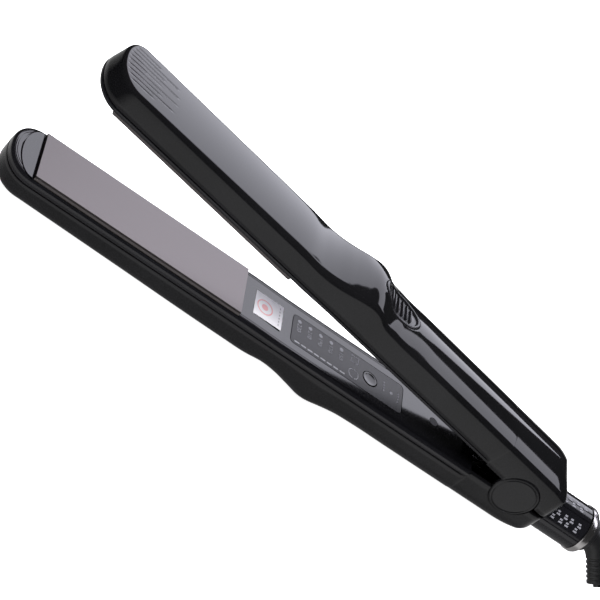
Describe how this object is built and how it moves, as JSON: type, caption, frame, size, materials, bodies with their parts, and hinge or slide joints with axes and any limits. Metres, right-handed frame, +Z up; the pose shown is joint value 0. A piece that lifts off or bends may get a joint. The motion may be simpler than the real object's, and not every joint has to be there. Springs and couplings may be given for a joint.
{
  "type": "flat iron",
  "caption": "Hair straightening iron with two hinged arms, floating heated plates, a control panel with a press button, and a swivelling cord guard.",
  "frame": {"origin": "centre of the hinge axis between the two arms", "axes": "+X along the lower arm from the hinge to the tip, +Y across the arms, +Z up from the lower plate towards the upper arm; the upper arm is open at rest"},
  "size_m": [0.3295, 0.0311, 0.0821],
  "materials": {
    "gloss_shell": "polished black moulded plastic",
    "satin_cover": "satin black moulded plastic",
    "plate_face": "warm grey ceramic-coated aluminium, satin",
    "heater_ceramic": "fired ceramic",
    "spring_steel": "bright steel wire and sheet",
    "screw_steel": "zinc plated steel",
    "heat_proof_resin": "brown-black heat-proof resin",
    "board": "green solder mask",
    "chip_black": "moulded epoxy",
    "lamp_clear": "clear to milky acrylic",
    "overlay_film": "printed polyester film, satin",
    "label_paper": "white printed sticker",
    "bush_resin": "self-lubricating resin",
    "wire_skin": "heat-proof silicone insulation",
    "contact_brass": "bright brass",
    "trim_silver": "satin chrome plated plastic",
    "guard_rubber": "soft black vinyl",
    "grip_rubber": "soft-touch black rubber"
  },
  "bodies": {
    "root": {"lower_outer_shell": "gloss_shell", "lower_inner_cover": "satin_cover", "lower_tip_insert": "satin_cover", "lower_plate_springs": "spring_steel", "lower_case_screws": "screw_steel", "lower_bracket_screws": "screw_steel", "lower_hinge_bracket": "satin_cover", "hinge_pin": "spring_steel", "near_pivot_cap": "gloss_shell", "far_pivot_cap": "gloss_shell", "hinge_spring": "spring_steel", "control_overlay": "overlay_film", "caution_label": "label_paper", "control_board": "board", "push_switch": "chip_black", "indicator_lamps": "lamp_clear", "light_pipes": "lamp_clear", "microcontroller": "chip_black", "triac": "chip_black", "filter_capacitor": "chip_black", "board_screws": "screw_steel", "mains_wires": "wire_skin", "lower_heater_wires": "wire_skin", "bridge_wires": "wire_skin", "tail_sleeve": "gloss_shell", "trim_ring": "trim_silver", "swivel_bearing": "bush_resin", "brush_holder": "satin_cover", "contact_brushes": "contact_brass"},
    "lower_plate_unit": {"lower_plate": "plate_face", "lower_heater": "heater_ceramic", "lower_heater_clip": "spring_steel", "lower_plate_carrier": "heat_proof_resin", "thermistor": "chip_black"},
    "upper_arm": {"upper_outer_shell": "gloss_shell", "upper_inner_cover": "satin_cover", "upper_tip_insert": "satin_cover", "upper_thumb_grip": "grip_rubber", "upper_plate_springs": "spring_steel", "upper_case_screws": "screw_steel", "upper_bracket_screws": "screw_steel", "upper_hinge_bracket": "satin_cover", "hinge_bushes": "bush_resin", "upper_heater_wires": "wire_skin"},
    "upper_plate_unit": {"upper_plate": "plate_face", "upper_heater": "heater_ceramic", "upper_heater_clip": "spring_steel", "upper_plate_carrier": "heat_proof_resin", "thermal_fuse": "chip_black"},
    "power_key": {"power_button": "satin_cover"},
    "cord_end": {"swivel_core": "satin_cover", "slip_rings": "contact_brass", "cord_guard": "guard_rubber", "cord_stub": "guard_rubber"}
  },
  "joints": [
    {"name": "arm_hinge", "type": "hinge", "parent": "root", "child": "upper_arm", "pos_m": [0, 0, 0], "axis": [0, 1, 0], "range_deg": [0, 10.2], "stiffness_Nm_per_rad": 0.6, "springref_deg": -14.32, "deforming": ["hinge_spring", "bridge_wires"]},
    {"name": "lower_plate_float", "type": "slide", "parent": "root", "child": "lower_plate_unit", "axis": [0, 0, -1], "range_m": [0, 0.0008], "stiffness_N_per_m": 4000, "springref_m": -0.0005, "deforming": ["lower_plate_springs"]},
    {"name": "upper_plate_float", "type": "slide", "parent": "upper_arm", "child": "upper_plate_unit", "axis": [-0.1771, 0, 0.9842], "range_m": [0, 0.0008], "stiffness_N_per_m": 4000, "springref_m": -0.0005, "deforming": ["upper_plate_springs"]},
    {"name": "power_button_press", "type": "slide", "parent": "root", "child": "power_key", "axis": [0, 0, -1], "range_m": [0, 0.0006], "stiffness_N_per_m": 120},
    {"name": "cord_swivel", "type": "hinge", "parent": "root", "child": "cord_end", "pos_m": [-0.0415, 0, -0.006], "axis": [1, 0, 0], "continuous": true}
  ]
}
